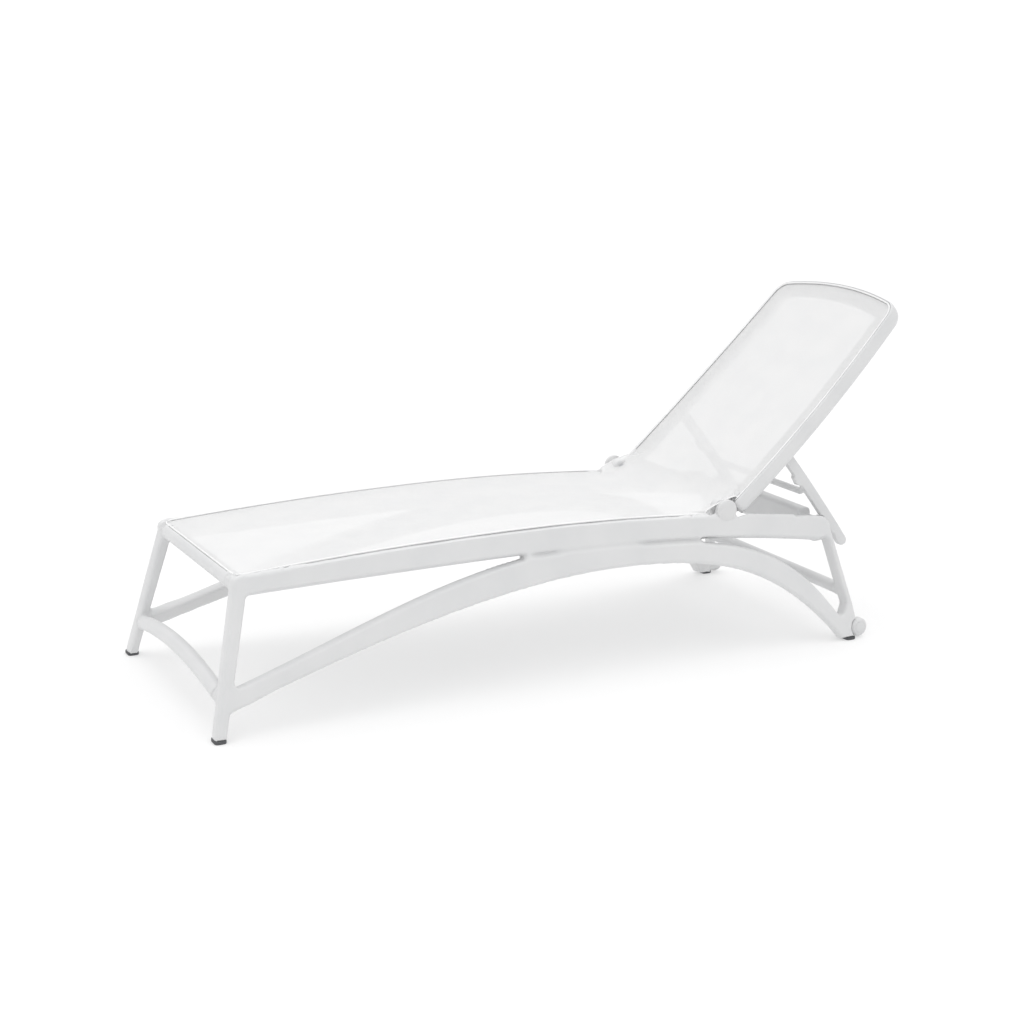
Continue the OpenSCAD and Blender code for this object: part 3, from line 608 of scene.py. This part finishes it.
def folded_valley(mesh, depth=0.011, width=0.0048):
    """Sinks the outer face over the web into a fold, deepest beside the two openings."""
    co = read_points(mesh)
    u = co[:, 0] - FEET_MID
    fade = smooth((u + 0.06) / 0.04) * smooth((0.48 - u) / 0.04)
    fade *= 1 - 0.72 * smooth((u - 0.01) / 0.04) * smooth((0.27 - u) / 0.05)
    off = co[:, 2] - valley_z(co[:, 0]) - 0.001
    outer_face = co[:, 1] > SIDE_FOOT_Y - co[:, 2] * math.tan(LEAN) - 0.019
    co[:, 1] -= outer_face * fade * depth * np.exp(-(off / width) ** 2)
    mesh.vertices.foreach_set("co", co.ravel())
    mesh.update()
    return mesh


def stood_on_pads(mesh, sole=0.0035, above=0.03):
    """Draws the ends of the legs down over the pads' upper part."""
    co = read_points(mesh)
    low = co[:, 2] < above
    lowest = co[:, 2].min()
    co[low, 2] = sole + (co[low, 2] - lowest) * (above - sole) / (above - lowest)
    mesh.vertices.foreach_set("co", co.ravel())
    mesh.update()


right_skin = moulded([cad_copy("side_frame_right"), hinge_plate()] + sockets, 0.003, 3)
rounded_over(right_skin)
folded_valley(right_skin)
relaxed(right_skin, 5)
bead_line = foot_line(SEAT_BEAD_END)
raised_bed(right_skin, bead_line[bead_line[:, 1] > 0], 0.0012, 0.0030)
right_skin.shade_smooth()
stood_on_pads(right_skin)
add_piece("side_moulding_right", right_skin, "base", moulding, ["side_frame_right"])
add_piece("side_moulding_left", mirrored(right_skin), "base", moulding, ["side_frame_left"])

# %% [markdown]
# The cross bars end inside the sockets of the side frames. The brace is a little slimmer at
# its ends, and the front bar is cut down behind the bead for the sling.

# %% Cross bars
def bar_points(path_of, reach):
    """Points of a bar that ends inside its sockets."""
    return path_of(np.linspace(-reach + 0.01, reach - 0.01, 61))


def rebated(mesh):
    """Lowers the front bar's top behind the bead, where the sling lies over it."""
    co = read_points(mesh)
    inside = (co[:, 0] > SEAT_FRONT - 0.0028) & (np.abs(co[:, 1]) < BEAD_Y)
    co[inside, 2] = np.minimum(co[inside, 2], rim_z(co[inside, 0]) - 0.0048)
    mesh.vertices.foreach_set("co", co.ravel())
    mesh.update()
    return mesh


front_y = bar_points(lambda y: straight_path(BAR_X, BAR_Z, y), side_face(BAR_Z))
add_piece("front_bar_moulding", rebated(bar(front_y, FRONT_BAR_R, 96)), "base", moulding,
          ["front_bar"])
brace_at = bar_points(brace_path, side_face(BRACE_Z))
slim = BRACE_R * (1 - 0.1 * (brace_at[:, 1] / BRACE_HALF) ** 4)
add_piece("front_brace_moulding", bar(brace_at, slim, 56), "base", moulding,
          ["front_brace"])
rear_y = bar_points(lambda y: straight_path(REAR_BAR_X, REAR_BAR_Z, y), side_face(REAR_BAR_Z))
add_piece("rear_bar_moulding", bar(rear_y, REAR_BAR_R, 56), "base", moulding, ["rear_bar"])
add_piece("rear_beam_moulding", moulded([cad_copy("rear_beam")], 0.0025, 7), "base", moulding,
          ["rear_beam"])

# %% [markdown]
# ## Backrest ring
# The ring is one profile carried along the head line: a D-shaped outer rail, a rebate that
# holds the bead, and a thin flange under the mesh. Each point of the profile runs along its
# own offset of the bead line, so the flange keeps a tight inner corner.

# %% Backrest ring
RAIL_PROFILE = np.array([
    (3.3, -5.4), (3.4, -1.2), (4.0, -0.4), (5.2, -0.2), (6.6, -1.2), (7.8, -4.0), (8.3, -9.0),
    (8.4, -16), (8.0, -24), (6.6, -32), (4.0, -38), (0.5, -41.4), (-4.0, -42.4), (-9.0, -41.4),
    (-12.6, -38), (-14.4, -32), (-15, -24), (-15.2, -16), (-16.2, -11.5), (-18.5, -10.0),
    (-26, -9.8), (-34, -9.8), (-42, -9.6), (-43.2, -8.2), (-42.6, -6.6), (-38, -6.0),
    (-26, -5.9), (-14, -5.9), (-3.0, -5.8)]) / 1000
RING_START = 0.028
lines = np.stack([head_line(e, RING_START) for e, _ in RAIL_PROFILE], 1)
ring = lofted(turned_up(lines[..., 0], lines[..., 1],
                        back_n(lines[..., 0]) + RAIL_PROFILE[None, :, 1]))

# %% [markdown]
# The hubs turn on the hinge pins, necks join them to the ring, and a tube between them keeps
# the lower end of the backrest in shape.

# %% Hubs, lower tube and prop bosses
def in_back(s, n):
    """Where a point of the flat backrest lies on the propped one, in the middle."""
    return turned_up(np.float64(s), np.float64(0), np.float64(n))


HUB_Y, HUB_WIDTH, HUB_R = 0.234, 0.022, 0.023


def hub():
    """Round hub on the hinge axis, with softened edges."""
    return turned([(HUB_R - 0.002, 0), (HUB_R, 0.002), (HUB_R, HUB_WIDTH - 0.002),
                   (HUB_R - 0.002, HUB_WIDTH)], HINGE + [0, HUB_Y, 0])


def neck():
    """Block that joins the hub to the rail: an outline in (s, n) given a width."""
    outline = np.array([(0, -22), (28, -44), (62, -48), (62, -9), (28, -8.5), (9, 20)]) / 1000
    rings = [turned_up(outline[:, 0], np.full(6, y), outline[:, 1])
             for y in (HUB_Y + 0.001, HUB_Y + HUB_WIDTH - 0.001)]
    return lofted(np.stack(rings))


PIVOT = np.array(JOINTS["prop_swing"]["pos_m"])
tube_y = np.linspace(-0.25, 0.25, 9)
low_tube = bar(straight_path(*in_back(0.052, -0.0383)[[0, 2]], tube_y), 0.011)
boss_y = np.linspace(0.2345, 0.262, 5)
boss = bar(straight_path(PIVOT[0], PIVOT[2], boss_y), 0.013)
side_parts = [hub(), neck(), boss]
fused_hubs = moulded([low_tube] + side_parts + [mirrored(p) for p in side_parts], 0.0025, 6)
back_skin = soup([ring, fused_hubs])
back_skin.shade_smooth()
add_piece("backrest_moulding", back_skin, "backrest", moulding, ["backrest_frame"])

# %% [markdown]
# ## Sling
# One sheet of mesh runs from the foot end to the head. Along each line of the cloth it
# follows the seat's arch, turns up in a soft bend at the hinge, and follows the hollowed
# backrest. Its edges rise over the two hubs, where the cloth is cut out and hemmed.

# %% Sling shape
EDGE = 0.0027
SINK = 0.0032
COLUMNS = 97
v = np.sin(np.linspace(-1, 1, COLUMNS) * math.pi / 2) * 0.5 + np.linspace(-1, 1, COLUMNS) * 0.5


def bend_between(p, p_dir, q, q_dir, t):
    """Cubic curve from p to q that leaves and arrives along the given directions."""
    t = t[:, None, None]
    return ((1 + 2 * t) * (1 - t) ** 2 * p + t * (1 - t) ** 2 * p_dir
            + t * t * (3 - 2 * t) * q + t * t * (t - 1) * q_dir)


def seat_points(x, y_share):
    """Points of the seat panel: the rail's arch, sagging a little in the middle."""
    sag = 0.004 * (1 - y_share ** 2) * smooth((x - SEAT_FRONT) / 0.25)
    return np.stack(np.broadcast_arrays(x, y_share * (BEAD_Y - EDGE), rim_z(x) - SINK - sag), -1)


def back_points(s, y_share):
    """Points of the back panel: the hollowed backrest, sagging a little in the middle."""
    sag = 0.003 * (1 - y_share ** 2) * smooth((HEAD_S - s) / 0.2)
    return turned_up(s, y_share * (bead_half(s) - EDGE), back_n(s) - SINK - sag)


edge_line = head_line(-EDGE, 0.03)
upper = edge_line[(edge_line[:, 0] > HEAD_S - 0.06) & (edge_line[:, 1] >= 0)]
share = upper[:, 1] / (bead_half(upper[:, 0]) - EDGE)
order = np.argsort(share)
s_end = np.interp(np.abs(v), share[order], upper[order, 0])
over_corner = np.clip(np.abs(v) * (BEAD_Y - EDGE) - (BEAD_Y - EDGE - CORNER), 0, CORNER)
x_start = SEAT_FRONT + EDGE + CORNER - np.sqrt(CORNER ** 2 - over_corner ** 2)

near_edge = smooth((np.abs(v) - 0.78) / 0.2)
x_leave = HINGE[0] - 0.085 + 0.034 * near_edge
s_meet = 0.085 - 0.040 * near_edge
SEAT_ROWS = 130
t_seat = np.linspace(0, 1, SEAT_ROWS)[:, None]
t_back = np.linspace(0, 1, 90)[:, None]
t_bend = np.linspace(0, 1, 42)[1:-1]
seat_part = seat_points(x_start + (x_leave - x_start) * t_seat, v + 0 * t_seat)
back_part = back_points(s_meet + (s_end - s_meet) * t_back, v + 0 * t_back)
p, q = seat_part[-1], back_part[0]
reach = np.linalg.norm(q - p, axis=1)[:, None]
p_dir = (seat_part[-1] - seat_part[-2])
q_dir = (back_part[1] - back_part[0])
p_dir = p_dir / np.linalg.norm(p_dir, axis=1)[:, None] * reach
q_dir = q_dir / np.linalg.norm(q_dir, axis=1)[:, None] * reach
bend_part = bend_between(p, p_dir, q, q_dir, t_bend)
rise = np.sin(np.pi * t_bend) ** 0.45
bend_part[..., 2] += 0.0190 * rise[:, None] * near_edge ** 1.5
bend_part[..., 0] -= 0.006 * rise[:, None] * near_edge ** 1.5
cloth = np.concatenate([seat_part, bend_part, back_part])
print("sling grid", cloth.shape)


# %% [markdown]
# The cloth gets a UV map in metres.

# %% Sling piece
def cloth_uv(points):
    """Distance along the cloth's middle line and across it from its middle, in metres."""
    mid = points[:, COLUMNS // 2]
    along = np.concatenate([[0], np.cumsum(np.linalg.norm(np.diff(mid, axis=0), axis=1))])
    return np.stack(np.broadcast_arrays(along[:, None], points[..., 1]), -1)


mesh = make_mesh("sling", cloth, grid_faces(len(cloth), COLUMNS, closed=False))
layer = mesh.uv_layers.new(name="cloth")
corner_vertex = np.empty(len(mesh.loops), int)
mesh.loops.foreach_get("vertex_index", corner_vertex)
layer.data.foreach_set("uv", cloth_uv(cloth).reshape(-1, 2)[corner_vertex].ravel())
mesh.flip_normals()
mesh.shade_smooth()
sling = add_piece("mesh_sling", mesh, None, fabric, ["seat_sling", "back_sling"])
BEND_TO = tuple(in_back(0.060, -0.009))
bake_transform(sling)

# %% [markdown]
# ## Bead and hem
# A round bead is welded along the sling's edge and sits in the rebate of the mouldings. The
# hem of the two cut-outs over the hubs is a thinner roll.

# %% Bead lines
HEM_R, CORD_SIDES = 0.0016, 10
foot = foot_line(SEAT_BEAD_END)
foot_path = np.concatenate([foot, rim_z(foot[:, :1]) - 0.0014], 1)
add_piece("seat_bead_cord", bar(foot_path, BEAD_R, CORD_SIDES), "base", bead_white, ["seat_bead"])
head = head_line(0, 0.036)
head_path = turned_up(head[:, 0], head[:, 1], back_n(head[:, 0]) - 0.0008)
add_piece("back_bead_cord", bar(head_path, BEAD_R, CORD_SIDES), "backrest", bead_white, ["back_bead"])
for hand, column in (("left", 0), ("right", COLUMNS - 1)):
    line = cloth[SEAT_ROWS - 5:SEAT_ROWS + 45, column]
    hem = add_piece("sling_hem_" + hand, bar(line, HEM_R, 8), None, bead_white, ())
    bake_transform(hem)

# %% [markdown]
# ## Hinge caps, prop, wheels and feet
# The hinge caps are shallow domes whose lower part disappears in the leaning rail.

# %% Hinge caps
CAP_R, CAP_Y = 0.0265, 0.2723
dome = [(CAP_R * math.sin(a), 0.008 + 0.007 * math.cos(a)) for a in np.linspace(1.5, 0, 16)]
cap_profile = [(0.0, -0.044), (0.007, -0.044), (0.008, -0.043), (0.008, 0.0),
               (CAP_R - 0.0008, 0.0), (CAP_R, 0.001)] + dome
for hand, sign in (("left", -1), ("right", 1)):
    cap = turned(cap_profile, HINGE + [0, sign * CAP_Y, 0], (0, sign, 0))
    add_piece("hinge_cap_" + hand, cap, "base", cap_white, ["hinge_pin_" + hand])

# %% [markdown]
# The prop is the CAD shape with melted edges.

# %% Prop
prop_skin = moulded([cad_copy("prop_frame")], 0.0022, 5)
add_piece("prop_moulding", prop_skin, "prop", moulding, ["prop_frame"])

# %% [markdown]
# Each transport wheel is one profile turned about its axle.

# %% Wheels
wheel_lo, wheel_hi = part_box("wheel_left")
WHEEL_R = (wheel_hi[2] - wheel_lo[2]) / 2
WHEEL_AT = np.array([(wheel_lo[0] + wheel_hi[0]) / 2, 0, (wheel_lo[2] + wheel_hi[2]) / 2])
WHEEL_OUT = -wheel_lo[1]
tread = [(0.0, -0.022), (0.012, -0.022), (0.014, -0.0205), (0.018, -0.0205), (0.0195, -0.022),
         (WHEEL_R - 0.0015, -0.022), (WHEEL_R, -0.0203), (WHEEL_R, -0.0125),
         (WHEEL_R - 0.0006, -0.0115), (WHEEL_R, -0.0105), (WHEEL_R - 0.0003, -0.0075),
         (WHEEL_R - 0.0018, -0.005), (WHEEL_R - 0.005, -0.0028), (WHEEL_R - 0.0085, -0.0014),
         (WHEEL_R - 0.0092, -0.0018), (WHEEL_R - 0.0100, -0.0010), (0.008, -0.0003), (0.0, 0.0)]
for hand, sign in (("left", -1), ("right", 1)):
    wheel = turned(tread, WHEEL_AT + [0, sign * WHEEL_OUT, 0], (0, sign, 0), 72)
    add_piece("transport_wheel_" + hand, wheel, "wheel_" + hand, wheel_white,
              ["wheel_" + hand])


# %% [markdown]
# The pads are stacks of rounded rectangles, which a power of sine and cosine gives.

# %% Foot pads
def pad(node):
    """Rubber pad: rounded rectangles stacked from a softened sole to the top, and its stem."""
    lo, hi = (np.array(c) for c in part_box(node))
    centre = (lo + hi) / 2
    half = (hi - lo)[:2] / 2
    a = np.linspace(0, 2 * np.pi, 64, endpoint=False)
    unit = np.stack([np.sign(np.cos(a)) * np.abs(np.cos(a)) ** 0.45,
                     np.sign(np.sin(a)) * np.abs(np.sin(a)) ** 0.45], -1)
    rows = [(0.0, 0.0022), (0.0006, 0.0009), (0.0018, 0.0), (0.0045, 0.0), (0.0052, 0.0006),
            (0.0059, 0.0), (0.0074, 0.0002), (0.008, 0.0012)]
    rings = [np.concatenate([centre[:2] + unit * (half - inset), np.full((64, 1), z)], 1)
             for z, inset in rows]
    stem = np.stack([np.cos(a), np.sin(a)], -1) * 0.005
    rings += [np.concatenate([centre[:2] + stem, np.full((64, 1), z)], 1)
              for z in (0.0081, 0.023)]
    return lofted(np.stack(rings))


for end in ("front", "rear"):
    for hand in ("left", "right"):
        name = f"foot_pad_{end}_{hand}"
        add_piece("rubber_" + name, pad(name), "base", rubber, [name])

# %% [markdown]
# Axles, clips and pins are plain turned and bent steel, so the CAD shape is kept.

# %% Steel parts keep their CAD shape
for name in ("wheel_axle_left", "wheel_axle_right", "hinge_clip_left", "hinge_clip_right",
             "prop_pin_left", "prop_pin_right"):
    node = nodes[name]
    node.data.materials.clear()
    node.data.materials.append(steel)
    print(name, "in steel")

# %% [markdown]
# ## Studio
# White plastic on a white ground is lit almost evenly: a bright sky all round, a soft sun
# from above, and a floor that runs up into a backdrop far behind. The floor is a plain pale
# surface.

# %% Floor and backdrop
floor_run = np.array([(-200.0, 0.0), (-6.0, 0.0), (6.0, 0.0), (200.0, 0.0)])
wall_run = np.array([(199.0, -1.0), (199.0, 9.0)])
yaw = math.radians(-26.4108)
away = np.array([-math.sin(yaw), math.cos(yaw)])
wide = np.array([math.cos(yaw), math.sin(yaw)])


def stage_sheet(name, run_rise, colour, glow):
    """Flat strips across the view, given as (distance away, height), with one plain finish."""
    cells = [[*(away * run + wide * w), rise] for run, rise in run_rise for w in (-150, 150)]
    mesh = make_mesh(name, np.array(cells), grid_faces(len(run_rise), 2, closed=False))
    material, _, shader = finish_nodes(name + "_finish", colour, 0.9)
    shader.inputs["Specular IOR Level"].default_value = 0.1
    shader.inputs["Emission Color"].default_value = (1, 1, 1, 1)
    shader.inputs["Emission Strength"].default_value = glow
    mesh.materials.append(material)
    sheet = bpy.data.objects.new(name, mesh)
    bpy.context.scene.collection.objects.link(sheet)


stage_sheet("pale_floor", floor_run, (0.55, 0.55, 0.55), 0.40)
stage_sheet("far_backdrop", wall_run, (0.5, 0.5, 0.5), 0.8)

# %% [markdown]
# The sky is brighter above than at the horizon, so that faces that look down stay darker.

# %% Lights
world = bpy.data.worlds.new("bright_studio")
world.use_nodes = True
sky = world.node_tree
place = sky.nodes.new("ShaderNodeTexCoord")
split = sky.nodes.new("ShaderNodeSeparateXYZ")
sky.links.new(place.outputs["Generated"], split.inputs[0])
fade = sky.nodes.new("ShaderNodeValToRGB")
fade.color_ramp.elements[0].position = 0.0
fade.color_ramp.elements[0].color = (0.35, 0.35, 0.352, 1)
fade.color_ramp.elements[1].position = 1.0
fade.color_ramp.elements[1].color = (1.0, 1.0, 1.0, 1)
sky.links.new(split.outputs["Z"], fade.inputs["Fac"])
sky.links.new(fade.outputs["Color"], sky.nodes["Background"].inputs["Color"])
sky.nodes["Background"].inputs["Strength"].default_value = 1.5
bpy.context.scene.world = world
sun_data = bpy.data.lights.new("overhead", "SUN")
sun_data.energy = 0.2
sun_data.angle = math.radians(70)
sun = bpy.data.objects.new("overhead", sun_data)
sun.rotation_euler = (math.radians(-24), math.radians(10), 0)
bpy.context.scene.collection.objects.link(sun)
bpy.context.scene.view_settings.view_transform = "Standard"
print("lights ready")
